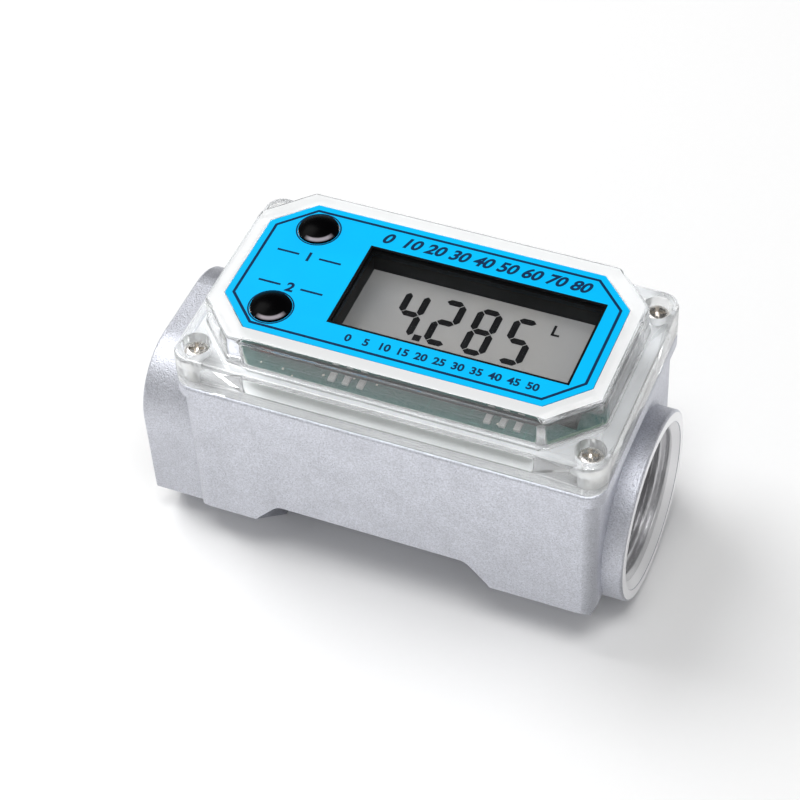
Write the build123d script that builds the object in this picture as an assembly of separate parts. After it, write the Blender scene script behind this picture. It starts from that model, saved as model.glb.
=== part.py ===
"""Inline turbine flow meter with a battery powered display, in millimetres.

+X runs with the flow, from the inlet to the outlet, and +Z points up out of the display.
The origin is the centre of the base, on the plane that the feet stand on.
"""
from build123d import *
from math import cos, radians, sin
import os

# Overall sizes
housing_length = 91.6
housing_width = 51.2
rim_corner_radius = 4.0
inlet_length = 11.3
outlet_length = 3.2
gasket_thickness = 0.6
running_gap = 0.3

# Cast body
lip_overhang = 1.3
lip_height = 3.0
lip_edge_radius = 0.8
block_corner_radius = 3.8
skirt_drop = 8.3
end_bevel = 7.0
foot_length = 22.0
recess_drop = 2.15
recess_slope_run = 5.5
recess_radius = 3.0
boss_inset = 4.4
boss_rise = 22.6
boss_shoulder_radius = 13.5
casting_edge_radius = 0.7
collar_wall = 3.88
ground_clearance = 1.0

# Pipe ports and flow bore
thread_root_radius = 16.62
thread_depth = 16.0
mouth_chamfer = 1.5
thread_runout = 2.0
cartridge_bore_radius = 13.5
cartridge_end_play = 0.2
ring_margin = 3.05

# Pocket for the electronics
pocket_wall = 5.3
pocket_corner_cut = 9.5
pocket_depth = 10.1
port_roof = 1.38
coil_wall = 2.1
coil_well_depth = 2.4

# Clear cover
flange_thickness = 7.45
flange_edge_radius = 0.9
dome_end_inset = 3.2
dome_side_inset = 2.9
dome_corner_cut = 9.0
dome_height = 6.95
dome_draft = 2.5
dome_corner_radius = 1.5
dome_edge_radius = 0.9
dome_root_radius = 0.8
hollow_corner_radius = 1.2
hollow_ceiling_radius = 0.7
top_plate_thickness = 2.4
post_radius = 1.8
post_inset = 2.9
post_y = 6.5

# Label, window and buttons, with margins measured from the edge of the label
label_end_margin = 3.7
label_side_margin = 4.0
label_corner_cut = 7.6
label_thickness = 0.3
window_length = 49.8
window_width = 22.2
window_margin = 5.0
window_y = -0.4
button_radius = 4.13
button_margin = 10.5
button_y = 11.9
button_rise = 1.7
button_flange_radius = 4.9
button_flange_height = 1.0
button_travel = 0.8
button_gap = 0.2

# Cover screws
screw_end_inset = 4.0
screw_side_inset = 5.2
screw_shank_radius = 1.5
screw_head_radius = 2.7
screw_head_height = 2.3
screw_length = 12.0
screw_seat_drop = 3.6
screw_fit = 0.05
recess_span = 1.2
recess_arm = 0.8
recess_depth = 1.3
recess_taper = 10.0
recess_turn = 20.0

# Display stack and circuit board
board_drop = 9.4
board_thickness = 1.6
board_edge_gap = 1.0
glass_drop = 7.2
glass_thickness = 1.7
glass_fit = 0.2
bezel_wall = 0.9
bezel_lap = 0.8
connector_width = 1.6
board_screw_radius = 1.0
board_screw_head = 1.9
board_screw_head_height = 1.3
board_screw_length = 6.0
switch_size = 6.0
switch_height = 3.5
switch_plunger_radius = 1.6
pin_radius = 0.45
pin_fit = 0.06
pin_proud = 0.5
chip_size = 7.0
chip_lead = 1.0
chip_gap = 3.6
crystal_gap = 2.7
crystal_width = 4.6
capacitor_radius = 2.6
capacitor_gap = 2.9
small_part_margin = 2.6
resistor_width = 1.3
resistor_length = 2.2
resistor_height = 0.6
resistor_pitch = 3.1

# Batteries and their tray
battery_radius = 5.25
battery_length = 44.5
battery_nub = 1.1
battery_gap = 1.1
battery_lift = 0.1
tray_wall = 1.0
tray_margin = 1.85
tray_end_gap = 2.0
contact_thickness = 0.4
contact_width = 8.0

# Turbine cartridge
rotor_hub_radius = 4.5
rotor_hub_length = 9.6
blade_count = 6
blade_tip_gap = 0.5
blade_length = 8.4
blade_thickness = 1.3
blade_twist = 50.0
shaft_radius = 1.0
shaft_length = 24.0
bush_radius = 1.8
bush_length = 3.0
bush_running_gap = 0.03
press_gap = 0.02
washer_radius = 2.4
washer_thickness = 0.6
washer_gap = 0.1
magnet_radius = 0.9
magnet_length = 6.0
magnet_orbit = 3.15
cartridge_gap = 0.1
support_ring_wall = 1.4
support_length = 10.0
support_nose = 5.5
vane_thickness = 1.4
vane_count = 4
ring_width = 1.2
ring_groove_depth = 0.8
ring_height = 2.0
sleeve_overlap = 1.2

# Pickup coil
coil_radius = 6.0
coil_height = 9.4
coil_flange = 0.9
coil_winding_radius = 5.5
coil_spool_radius = 2.6
core_radius = 1.5
core_proud = 1.0

# Stations along the flow that follow from the sizes above
housing_x = (inlet_length - outlet_length) / 2
inlet_face = housing_x - housing_length / 2 - inlet_length
outlet_face = housing_x + housing_length / 2 + outlet_length
rotor_space = rotor_hub_length / 2 + washer_thickness + 2 * washer_gap
sleeve_half_length = rotor_space + sleeve_overlap
ring_start = inlet_face + thread_depth + thread_runout / 2 + ring_margin
rotor_x = ring_start + ring_width + support_length + sleeve_half_length
cartridge_stop = rotor_x + sleeve_half_length + support_length + cartridge_end_play

# Heights, all measured up from the plane that the feet stand on
collar_radius = thread_root_radius + collar_wall
axis_height = collar_radius + ground_clearance
skirt_height = axis_height - skirt_drop
pocket_floor = axis_height + max(thread_root_radius + port_roof,
                                 cartridge_bore_radius + coil_wall + coil_well_depth)
coil_floor = pocket_floor - coil_well_depth
body_top = pocket_floor + pocket_depth
seam_height = body_top + gasket_thickness
flange_top = seam_height + flange_thickness
screw_seat = flange_top - screw_seat_drop
cover_top = flange_top + dome_height
plate_underside = cover_top - top_plate_thickness
glass_top = cover_top - glass_drop
board_top = cover_top - board_drop
board_bottom = board_top - board_thickness

# Radii about the flow axis
support_outer_radius = cartridge_bore_radius - cartridge_gap
support_inner_radius = support_outer_radius - support_ring_wall
rotor_tip_radius = support_inner_radius - blade_tip_gap
outlet_bore_radius = support_inner_radius

# Half lengths and half widths about the centre of the housing
block_half_length = housing_length / 2 - lip_overhang
recess_half_length = housing_x + block_half_length - foot_length - recess_slope_run
boss_half_width = housing_width / 2 - boss_inset
pocket_half_length = housing_length / 2 - pocket_wall
pocket_half_width = housing_width / 2 - pocket_wall
dome_half_length = housing_length / 2 - dome_end_inset
dome_half_width = housing_width / 2 - dome_side_inset
label_half_length = dome_half_length - label_end_margin
label_half_width = dome_half_width - label_side_margin

# Places seen from above
window_x = housing_x + label_half_length - window_margin - window_length / 2
window_left = window_x - window_length / 2
window_place = (window_x, window_y)
button_x = housing_x - label_half_length + button_margin
front_button = (button_x, -button_y)
back_button = (button_x, button_y)
chip_x = window_left - chip_gap - chip_lead - chip_size / 2
crystal_x = chip_x - chip_size / 2 - chip_lead - crystal_gap - crystal_width / 2
battery_pitch = 2 * battery_radius + battery_gap
tray_half_length = battery_length / 2 + tray_end_gap + tray_wall
tray_x = housing_x + pocket_half_length - tray_margin - tray_half_length
screw_places = [(housing_x + end * (housing_length / 2 - screw_end_inset),
                 side * (housing_width / 2 - screw_side_inset))
                for end in (-1, 1) for side in (-1, 1)]
post_places = [(housing_x + end * (pocket_half_length - post_inset), side * post_y)
               for end in (-1, 1) for side in (-1, 1)]
flow_axis = Axis((0, 0, axis_height), (1, 0, 0))


def upright(radius, bottom, top, place=(0, 0)):
    """A cylinder along Z between two heights."""
    return Pos(place[0], place[1], bottom) * Cylinder(
        radius, top - bottom, align=(Align.CENTER, Align.CENTER, Align.MIN))


def block(size_x, size_y, bottom, top, place=(0, 0)):
    """A box between two heights, centred on a place."""
    return Pos(place[0], place[1], bottom) * Box(
        size_x, size_y, top - bottom, align=(Align.CENTER, Align.CENTER, Align.MIN))


def along_flow(radius, start, stop):
    """A cylinder on the flow axis between two stations."""
    return Pos(start, 0, axis_height) * Rot(0, 90, 0) * Cylinder(
        radius, stop - start, align=(Align.CENTER, Align.CENTER, Align.MIN))


def tube(outer, inner, start, stop):
    """A tube on the flow axis between two stations."""
    return along_flow(outer, start, stop) - along_flow(inner, start - 1, stop + 1)


def octagon(half_length, half_width, cut, height):
    """A flat face with its four corners cut at 45 degrees, centred on the housing."""
    outline = [
        (half_length, half_width - cut), (half_length - cut, half_width),
        (cut - half_length, half_width), (-half_length, half_width - cut),
        (-half_length, cut - half_width), (cut - half_length, -half_width),
        (half_length - cut, -half_width), (half_length, cut - half_width)]
    return Pos(housing_x, 0, height) * make_face(Polyline(outline, close=True))


def octagon_block(half_length, half_width, cut, bottom, top, taper=0.0):
    """A block on the octagon, drawn in towards its top where it has a taper."""
    face = octagon(half_length, half_width, cut, bottom)
    return extrude(face, amount=top - bottom, dir=(0, 0, 1), taper=taper)


def section(points, start, stop):
    """A profile in Y and Z, carried along X between two stations."""
    face = make_face(Polyline([(start, y, z) for y, z in points], close=True))
    return extrude(face, amount=stop - start, dir=(1, 0, 0))


def revolved(profile):
    """A solid of revolution about the flow axis from stations and radii."""
    points = [(x, 0, axis_height + radius) for x, radius in profile]
    return revolve(make_face(Polyline(points, close=True)), axis=flow_axis)


def bevelled_profile(half_width, top):
    """Half width, skirt and foot pad of the casting across the flow; the lower sides slope at 45 degrees."""
    skirt = skirt_height - (housing_width / 2 - half_width)
    pad = half_width - skirt
    return [(-half_width, top), (-half_width, skirt), (-pad, 0),
            (pad, 0), (half_width, skirt), (half_width, top)]


def casting_block():
    """The rectangular block, with upright rounded corners and bevelled lower sides and end."""
    solid = section(bevelled_profile(housing_width / 2, body_top - lip_edge_radius),
                    housing_x - block_half_length, housing_x + block_half_length)
    end = housing_x + block_half_length
    wedge = Plane.XZ * make_face(Polyline(
        [(end - end_bevel, 0), (end, skirt_height), (end + 1, skirt_height), (end + 1, -1),
         (end - end_bevel, -1)], close=True))
    solid -= extrude(wedge, amount=housing_width, both=True, dir=(0, 1, 0))
    return fillet(solid.edges().filter_by(Axis.Z), block_corner_radius)


def base_recess():
    """The space under the block between the feet, with S shaped ends."""
    ceiling = axis_height - recess_drop
    foot = recess_half_length + recess_slope_run
    outline = [(-foot, -1), (-foot, skirt_height), (-recess_half_length, ceiling),
               (recess_half_length, ceiling), (foot, skirt_height), (foot, -1)]
    face = Plane.XZ * make_face(Polyline(outline, close=True))
    rounded = [v for v in face.vertices() if v.Z > 0]
    face = fillet(rounded, recess_radius)
    return extrude(face, amount=housing_width, both=True, dir=(0, 1, 0))


def inlet_boss():
    """The square shouldered boss round the inlet, flat in front and behind."""
    top = axis_height + boss_rise
    solid = section(bevelled_profile(boss_half_width, top), inlet_face,
                    housing_x - block_half_length + block_corner_radius)
    shoulders = [e for e in solid.edges().filter_by(Axis.X) if e.center().Z > top - 1]
    solid = fillet(shoulders, boss_shoulder_radius)
    mouth = [e for e in solid.edges() if e.center().X < inlet_face + 0.01 and e.center().Z > 1]
    return fillet(mouth, casting_edge_radius)


def top_lip():
    """The rim that the cover sits on, with a rounded outer edge."""
    rim = Pos(housing_x, 0, body_top - lip_height) * RectangleRounded(
        housing_length, housing_width, rim_corner_radius)
    solid = extrude(rim, amount=lip_height, dir=(0, 0, 1))
    upper = [e for e in solid.edges() if e.center().Z > body_top - 0.01]
    return fillet(upper, lip_edge_radius)


def flow_bores():
    """All that is bored out along the flow axis, inlet to outlet."""
    chamfer = mouth_chamfer
    inlet_end = inlet_face + thread_depth
    outlet_start = outlet_face - thread_depth
    profile = [
        (inlet_face - 1, 0), (inlet_face - 1, thread_root_radius + chamfer + 1),
        (inlet_face + chamfer, thread_root_radius), (inlet_end, thread_root_radius),
        (inlet_end + thread_runout / 2, cartridge_bore_radius),
        (cartridge_stop, cartridge_bore_radius), (cartridge_stop, outlet_bore_radius),
        (outlet_start - thread_runout, outlet_bore_radius), (outlet_start, thread_root_radius),
        (outlet_face - chamfer, thread_root_radius),
        (outlet_face + 1, thread_root_radius + chamfer + 1), (outlet_face + 1, 0)]
    return revolved(profile)


def meter_body():
    """The cast body with its flow bore, electronics pocket and tapped corner holes."""
    solid = casting_block() - base_recess()
    solid += inlet_boss()
    collar = along_flow(collar_radius, inlet_face + boss_inset, outlet_face)
    solid += fillet(collar.edges().sort_by(Axis.X)[-1], casting_edge_radius)
    solid += top_lip()
    solid -= flow_bores()
    solid -= tube(cartridge_bore_radius + ring_groove_depth, 1, ring_start, ring_start + ring_width)
    solid -= octagon_block(pocket_half_length, pocket_half_width, pocket_corner_cut,
                           pocket_floor, body_top + 1)
    solid -= upright(coil_radius + running_gap, coil_floor, body_top, (rotor_x, 0))
    for place in screw_places:
        depth = screw_length + 1
        solid -= upright(screw_shank_radius + screw_fit, screw_seat - depth, body_top + 1, place)
    return solid


def cover_gasket():
    """The flat seal between the body and the clear cover."""
    outer = RectangleRounded(housing_length - 1.0, housing_width - 1.0, rim_corner_radius - 0.5)
    solid = extrude(Pos(housing_x, 0, body_top) * outer, amount=gasket_thickness, dir=(0, 0, 1))
    solid -= octagon_block(pocket_half_length + 0.4, pocket_half_width + 0.4, pocket_corner_cut,
                           body_top - 1, seam_height + 1)
    for place in screw_places:
        solid -= upright(screw_shank_radius + 0.3, body_top - 1, seam_height + 1, place)
    return solid


def cover_shell():
    """The outside of the clear cover: a flat flange and an eight sided dome."""
    plate = Pos(housing_x, 0, seam_height) * RectangleRounded(
        housing_length, housing_width, rim_corner_radius)
    flange = extrude(plate, amount=flange_thickness, dir=(0, 0, 1))
    upper = [e for e in flange.edges() if e.center().Z > flange_top - 0.01]
    flange = fillet(upper, flange_edge_radius)
    dome = octagon_block(dome_half_length, dome_half_width, dome_corner_cut,
                         flange_top - 1, cover_top, dome_draft)
    walls = [e for e in dome.edges() if flange_top < e.center().Z < cover_top - 1]
    dome = fillet(walls, dome_corner_radius)
    crown = [e for e in dome.edges() if e.center().Z > cover_top - 0.01]
    shell = flange + fillet(crown, dome_edge_radius)
    root = [e for e in shell.edges() if abs(e.center().Z - flange_top) < 0.01
            and abs(e.center().X - housing_x) < dome_half_length + 0.5
            and abs(e.center().Y) < dome_half_width + 0.5]
    return fillet(root, dome_root_radius)


def cover_hollow():
    """The inside of the cover, with its upright corners and the edge of its ceiling rounded."""
    hollow = octagon_block(pocket_half_length, pocket_half_width, pocket_corner_cut,
                           seam_height - 1, plate_underside)
    hollow = fillet(hollow.edges().filter_by(Axis.Z), hollow_corner_radius)
    ceiling = [e for e in hollow.edges() if e.center().Z > plate_underside - 0.01]
    return fillet(ceiling, hollow_ceiling_radius)


def clear_cover():
    """The transparent cover with its screw seats, board posts, label bed and button holes."""
    solid = cover_shell() - cover_hollow()
    for place in post_places:
        post = upright(post_radius, board_top, plate_underside + 0.1, place)
        bore = upright(board_screw_radius + press_gap, board_top - 1, board_top + 5, place)
        solid = solid + post - bore
    for place in screw_places:
        solid -= upright(screw_head_radius + 0.45, screw_seat, flange_top + 2, place)
        solid -= upright(screw_shank_radius + 0.2, seam_height - 1, flange_top, place)
    solid -= octagon_block(label_half_length + 0.15, label_half_width + 0.15, label_corner_cut,
                           cover_top - label_thickness, cover_top + 1)
    for place in (front_button, back_button):
        solid -= upright(button_radius + button_gap, plate_underside - 1, cover_top + 1, place)
    return solid


def face_label():
    """The printed face film with its window and its two button holes."""
    bottom = cover_top - label_thickness
    solid = octagon_block(label_half_length, label_half_width, label_corner_cut, bottom, cover_top)
    solid -= block(window_length, window_width, bottom - 1, cover_top + 1, window_place)
    for place in (front_button, back_button):
        solid -= upright(button_radius + button_gap, bottom - 1, cover_top + 1, place)
    return solid


def display_bezel():
    """The black frame round the window, stepped to hold the display glass."""
    outer_length = window_length + 2 * (bezel_wall + bezel_lap)
    outer_width = window_width + 2 * (bezel_wall + bezel_lap)
    solid = block(outer_length, outer_width, board_top, plate_underside, window_place)
    solid -= block(window_length, window_width, board_top - 1, plate_underside + 1, window_place)
    solid -= block(window_length + 2 * bezel_lap, window_width + 2 * bezel_lap,
                   board_top - 1, glass_top, window_place)
    return solid


def display_glass():
    """The liquid crystal panel under the window."""
    length = window_length + 2 * bezel_lap - glass_fit
    width = window_width + 2 * bezel_lap - glass_fit
    return block(length, width, glass_top - glass_thickness, glass_top, window_place)


def display_connectors():
    """Two rubber strips that join the display glass to the board."""
    offset = window_width / 2 + bezel_lap - connector_width
    strips = [block(window_length - 2, connector_width, board_top, glass_top - glass_thickness,
                    (window_x, window_y + side * offset)) for side in (-1, 1)]
    return Compound(strips)


def push_button(place):
    """A domed cap that stands through the label, with a collar that stops it under the plate."""
    collar_top = plate_underside - running_gap
    collar = upright(button_flange_radius, collar_top - button_flange_height, collar_top, place)
    crown = cover_top + button_rise
    sphere_radius = (button_radius ** 2 + button_rise ** 2) / (2 * button_rise) * 1.25
    barrel = upright(button_radius, collar_top - 0.1, crown, place)
    ball = Pos(place[0], place[1], crown - sphere_radius) * Sphere(sphere_radius)
    return collar + (barrel & ball)


def switch_plunger(place):
    """The stem between a cap and its switch."""
    bottom = board_top + switch_height - button_travel - 1.0
    top = plate_underside - running_gap - button_flange_height
    return upright(switch_plunger_radius, bottom, top, place)


def tact_switch(place):
    """A square push switch on the board, open on top for its stem."""
    top = board_top + switch_height
    case = block(switch_size, switch_size, board_top, top, place)
    case = chamfer(case.edges().filter_by(Axis.Z), 0.4)
    return case - upright(switch_plunger_radius + 0.12, board_top + 0.5, top + 1, place)


def circuit_board():
    """The main board with holes for its screws and for the pins that pass through it."""
    gap = board_edge_gap
    solid = octagon_block(pocket_half_length - gap, pocket_half_width - gap,
                          pocket_corner_cut, board_bottom, board_top)
    for place in post_places:
        solid -= upright(board_screw_radius + 0.1, board_bottom - 1, board_top + 1, place)
    for place in coil_pin_places() + battery_pin_places():
        solid -= upright(pin_radius + pin_fit, board_bottom - 1, board_top + 1, place)
    return solid


def board_screws():
    """Four small pan head screws that hold the board up to the cover."""
    screws = []
    for place in post_places:
        head = upright(board_screw_head, board_bottom - board_screw_head_height, board_bottom, place)
        head = fillet(head.edges().sort_by(Axis.Z)[0], 0.4)
        shank = upright(board_screw_radius, board_bottom - 0.1, board_bottom + board_screw_length,
                        place)
        screws.append(head + shank)
    return Compound(screws)


def microcontroller():
    """A square chip with a row of bent leads on each side."""
    body = block(chip_size, chip_size, board_top + 0.15, board_top + 1.5, (chip_x, 0))
    body = chamfer(body.faces().sort_by(Axis.Z)[-1].edges(), 0.2)
    foot = Box(chip_lead + 0.1, 0.35, 0.2, align=(Align.MIN, Align.CENTER, Align.MIN))
    riser = Box(0.5, 0.35, 0.8, align=(Align.MIN, Align.CENTER, Align.MIN))
    for turn in range(4):
        for lead in range(7):
            bent = Pos(chip_size / 2 - 0.1, (lead - 3) * 0.8, 0) * (foot + riser)
            body += Pos(chip_x, 0, board_top) * Rot(0, 0, 90 * turn) * bent
    return body


def crystal():
    """A low metal can crystal on a flat base."""
    base = extrude(SlotOverall(11.0, crystal_width, 90), amount=0.5)
    can = extrude(SlotOverall(10.2, crystal_width - 0.8, 90), amount=2.8)
    can = fillet(can.faces().sort_by(Axis.Z)[-1].edges(), 0.5)
    return Pos(crystal_x, 0, board_top) * base + Pos(crystal_x, 0, board_top + 0.5) * can


def board_components():
    """Small parts on the board in front of and behind the display."""
    edge = pocket_half_width - board_edge_gap - small_part_margin
    parts = []
    for group_x in (-10.0, 23.0):
        for step in range(3):
            place = (housing_x + group_x + resistor_pitch * (step - 1), -edge)
            parts.append(block(resistor_width, resistor_length, board_top,
                               board_top + resistor_height, place))
    for step in range(5):
        parts.append(block(1.4, 2.4, board_top, board_top + 0.8, (window_x - 17 + 9 * step, edge)))
    place = (window_left - capacitor_gap - capacitor_radius, edge - 1.4)
    can = upright(capacitor_radius, board_top, board_top + 4.4, place)
    parts.append(fillet(can.edges().sort_by(Axis.Z)[-1], 0.4))
    return Compound(parts)


def coil_pin_places():
    """Where the two pins of the pickup coil pass through the board."""
    return [(rotor_x, side * 4.0) for side in (-1, 1)]


def battery_pin_places():
    """Where the two battery pins pass through the board."""
    return [(tray_x - tray_half_length - 1.2, side * 8.0) for side in (-1, 1)]


def pickup_coil():
    """The bobbin of the pickup coil with its winding."""
    top = coil_floor + 0.2 + coil_height
    bottom = coil_floor + 0.2
    spool = upright(coil_spool_radius, bottom, top, (rotor_x, 0))
    lower = upright(coil_radius, bottom, bottom + coil_flange, (rotor_x, 0))
    upper = upright(coil_radius, top - coil_flange, top, (rotor_x, 0))
    solid = spool + lower + upper
    return solid - upright(core_radius + pin_fit, bottom - 1, top + 1, (rotor_x, 0))


def coil_winding():
    """The copper winding between the bobbin's flanges."""
    bottom = coil_floor + 0.2 + coil_flange
    top = bottom + coil_height - 2 * coil_flange
    return (upright(coil_winding_radius, bottom, top, (rotor_x, 0))
            - upright(coil_spool_radius, bottom - 1, top + 1, (rotor_x, 0)))


def coil_core():
    """The iron core that stands in the bobbin above the rotor."""
    return upright(core_radius, coil_floor + 0.2, coil_floor + 0.2 + coil_height + core_proud,
                   (rotor_x, 0))


def coil_pins():
    """The two pins that carry the coil's signal up to the board."""
    start = coil_floor + 0.2 + coil_height
    return Compound([upright(pin_radius, start, board_top + pin_proud, place)
                     for place in coil_pin_places()])


def battery_tray():
    """The open tray that holds the two cells side by side on the pocket floor."""
    length = 2 * tray_half_length
    width = battery_pitch + 2 * (battery_radius + running_gap + tray_wall)
    centre = (tray_x, 0)
    floor = pocket_floor
    top = floor + tray_wall + 1.3 * battery_radius
    solid = block(length, width, floor, top, centre)
    solid -= block(length - 2 * tray_wall, width - 2 * tray_wall, floor + tray_wall, top + 1, centre)
    solid += block(battery_length * 0.6, battery_gap / 2, floor,
                   floor + tray_wall + battery_radius * 0.5, centre)
    for place in battery_pin_places():
        solid += block(3.0, 3.0, floor, floor + 3.0, (place[0] + 0.3, place[1]))
        solid -= upright(pin_radius + pin_fit, floor + 0.5, top + 1, place)
    return solid


def battery(side):
    """One small round cell with its raised positive end; the two lie head to tail."""
    height = pocket_floor + tray_wall + battery_lift + battery_radius
    can = Pos(0, 0, -battery_nub / 2) * Cylinder(battery_radius, battery_length - battery_nub)
    can = fillet(can.edges(), 0.5)
    nub = Pos(0, 0, battery_length / 2 - battery_nub) * Cylinder(1.9, 2 * battery_nub)
    cell = Rot(0, 90 * side, 0) * (can + nub)
    return Pos(tray_x, side * battery_pitch / 2, height) * cell


def battery_contacts():
    """Four sprung plates, one at each end of each cell."""
    plates = []
    reach = battery_length / 2 + tray_end_gap - contact_thickness / 2 - 0.05
    height = pocket_floor + tray_wall + battery_lift + battery_radius
    for end in (-1, 1):
        for side in (-1, 1):
            place = Pos(tray_x + end * reach, side * battery_pitch / 2, height - 0.6)
            plate = Box(contact_thickness, contact_width, contact_width)
            spring = Rot(0, -90 * end, 0) * Cone(
                2.8, 1.4, tray_end_gap - 0.4, align=(Align.CENTER, Align.CENTER, Align.MIN))
            plates.append(place * (plate + Pos(0, 0, 0.6) * spring))
    return Compound(plates)


def battery_pins():
    """The two pins that carry the supply up to the board."""
    return Compound([upright(pin_radius, pocket_floor + 0.6, board_top + pin_proud, place)
                     for place in battery_pin_places()])


def cross_recess():
    """The tapered cross in a screw head, pointing down from its top."""
    span = screw_head_radius * recess_span
    cross = Rectangle(span, recess_arm) + Rectangle(recess_arm, span)
    inner = [v for v in cross.vertices() if abs(v.X) < span / 4 and abs(v.Y) < span / 4]
    cross = Rot(0, 0, recess_turn) * fillet(inner, recess_arm * 0.3)
    return extrude(cross, amount=-recess_depth, taper=recess_taper)


def cover_screws():
    """Four pan head screws that clamp the cover to the body."""
    screws = []
    for place in screw_places:
        head = upright(screw_head_radius, screw_seat, screw_seat + screw_head_height, place)
        head = fillet(head.edges().sort_by(Axis.Z)[-1], screw_head_height * 0.55)
        head -= Pos(place[0], place[1], screw_seat + screw_head_height) * cross_recess()
        shank = upright(screw_shank_radius, screw_seat - screw_length, screw_seat + 0.1, place)
        shank = chamfer(shank.edges().sort_by(Axis.Z)[0], 0.4)
        screws.append(head + shank)
    return Compound(screws)


def rotor_blade(number):
    """One helical blade, thickest in the middle of its length, from the hub to the tip circle."""
    root = rotor_hub_radius - 0.6
    tip = rotor_tip_radius + 1.0
    stations = 7
    sections = []
    for step in range(stations):
        share = step / (stations - 1)
        angle = radians(360.0 / blade_count * number + blade_twist * (share - 0.5))
        place = rotor_x + blade_length * (share - 0.5)
        plane = Plane(origin=(place, 0, axis_height), x_dir=(0, cos(angle), sin(angle)),
                      z_dir=(1, 0, 0))
        thickness = blade_thickness * (0.5 + 0.5 * sin(radians(180 * share)))
        sections.append(plane * Pos((root + tip) / 2, 0) * Rectangle(tip - root, thickness))
    return loft(sections)


def turbine_rotor():
    """The rotor: a drilled hub with helical blades trimmed to the tip circle."""
    start = rotor_x - rotor_hub_length / 2
    hub = along_flow(rotor_hub_radius, start, start + rotor_hub_length)
    hub = fillet(hub.edges(), 0.5)
    trim = along_flow(rotor_tip_radius, start, start + rotor_hub_length)
    for number in range(blade_count):
        hub += rotor_blade(number) & trim
    hub -= along_flow(bush_radius + press_gap, start - 1, start + rotor_hub_length + 1)
    for side in (-1, 1):
        hole = along_flow(magnet_radius + press_gap, rotor_x - magnet_length / 2,
                          start + rotor_hub_length + 1)
        hub -= Pos(0, side * magnet_orbit, 0) * hole
    return hub


def rotor_magnets():
    """Two small magnets set in the rotor hub, which the pickup coil senses."""
    magnet = along_flow(magnet_radius, rotor_x - magnet_length / 2, rotor_x + magnet_length / 2)
    return Compound([Pos(0, side * magnet_orbit, 0) * magnet for side in (-1, 1)])


def rotor_bushes():
    """Two plain bushes pressed in the ends of the hub."""
    start = rotor_x - rotor_hub_length / 2
    stop = rotor_x + rotor_hub_length / 2
    inner = shaft_radius + bush_running_gap
    return Compound([tube(bush_radius, inner, start, start + bush_length),
                     tube(bush_radius, inner, stop - bush_length, stop)])


def rotor_shaft():
    """The fixed shaft that both supports carry."""
    shaft = along_flow(shaft_radius, rotor_x - shaft_length / 2, rotor_x + shaft_length / 2)
    return chamfer(shaft.edges().filter_by(GeomType.CIRCLE), 0.2)


def thrust_washers():
    """A hard washer on the shaft at each end of the rotor."""
    near = rotor_hub_length / 2 + washer_gap
    inner = shaft_radius + 0.05
    return Compound([
        tube(washer_radius, inner, rotor_x - near - washer_thickness, rotor_x - near),
        tube(washer_radius, inner, rotor_x + near, rotor_x + near + washer_thickness)])


def flow_support(side):
    """A streamlined hub on radial vanes in a ring; side is -1 upstream and 1 downstream."""
    inner_face = rotor_space
    ring_near = sleeve_half_length
    ring_far = ring_near + support_length
    ring = tube(support_outer_radius, support_inner_radius, ring_near, ring_far)
    hub = along_flow(rotor_hub_radius, inner_face, ring_far - 2)
    nose = Pos(ring_far - 2, 0, axis_height) * scale(
        Sphere(rotor_hub_radius), by=(support_nose / rotor_hub_radius, 1, 1))
    solid = ring + hub + nose
    for number in range(vane_count):
        vane = Pos((ring_near + ring_far - 2) / 2, 0, axis_height) * Rot(
            45 + 360 / vane_count * number, 0, 0) * Pos(0, 0, rotor_hub_radius - 0.5) * Box(
            ring_far - 2 - ring_near, vane_thickness,
            support_inner_radius + 0.5 - rotor_hub_radius + 0.5,
            align=(Align.CENTER, Align.CENTER, Align.MIN))
        solid += vane
    solid -= along_flow(shaft_radius + press_gap, 0, shaft_length / 2 + 0.2)
    if side < 0:
        solid = mirror(solid, about=Plane.YZ)
    return Pos(rotor_x, 0, 0) * solid


def flow_sleeve():
    """The spacer tube that the rotor turns in, between the two support rings."""
    return tube(support_outer_radius, support_inner_radius,
                rotor_x - sleeve_half_length, rotor_x + sleeve_half_length)


def retaining_ring():
    """The split ring that locks the cartridge in the bore."""
    outer = cartridge_bore_radius + ring_groove_depth - 0.05
    ring = tube(outer, outer - ring_height, ring_start + 0.05, ring_start + ring_width - 0.05)
    gap = Pos(ring_start, 0, axis_height - outer) * Box(4, 5, 6)
    return ring - gap


nodes = {
    "meter_body": meter_body(),
    "cover_gasket": cover_gasket(),
    "clear_cover": clear_cover(),
    "face_label": face_label(),
    "display_bezel": display_bezel(),
    "display_glass": display_glass(),
    "display_connectors": display_connectors(),
    "front_button": push_button(front_button),
    "back_button": push_button(back_button),
    "front_plunger": switch_plunger(front_button),
    "back_plunger": switch_plunger(back_button),
    "front_switch": tact_switch(front_button),
    "back_switch": tact_switch(back_button),
    "circuit_board": circuit_board(),
    "board_screws": board_screws(),
    "microcontroller": microcontroller(),
    "crystal": crystal(),
    "board_components": board_components(),
    "pickup_coil": pickup_coil(),
    "coil_winding": coil_winding(),
    "coil_core": coil_core(),
    "coil_pins": coil_pins(),
    "battery_tray": battery_tray(),
    "front_battery": battery(-1),
    "back_battery": battery(1),
    "battery_contacts": battery_contacts(),
    "battery_pins": battery_pins(),
    "cover_screws": cover_screws(),
    "turbine_rotor": turbine_rotor(),
    "rotor_magnets": rotor_magnets(),
    "rotor_bushes": rotor_bushes(),
    "rotor_shaft": rotor_shaft(),
    "thrust_washers": thrust_washers(),
    "inlet_support": flow_support(-1),
    "outlet_support": flow_support(1),
    "flow_sleeve": flow_sleeve(),
    "retaining_ring": retaining_ring(),
}

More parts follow.
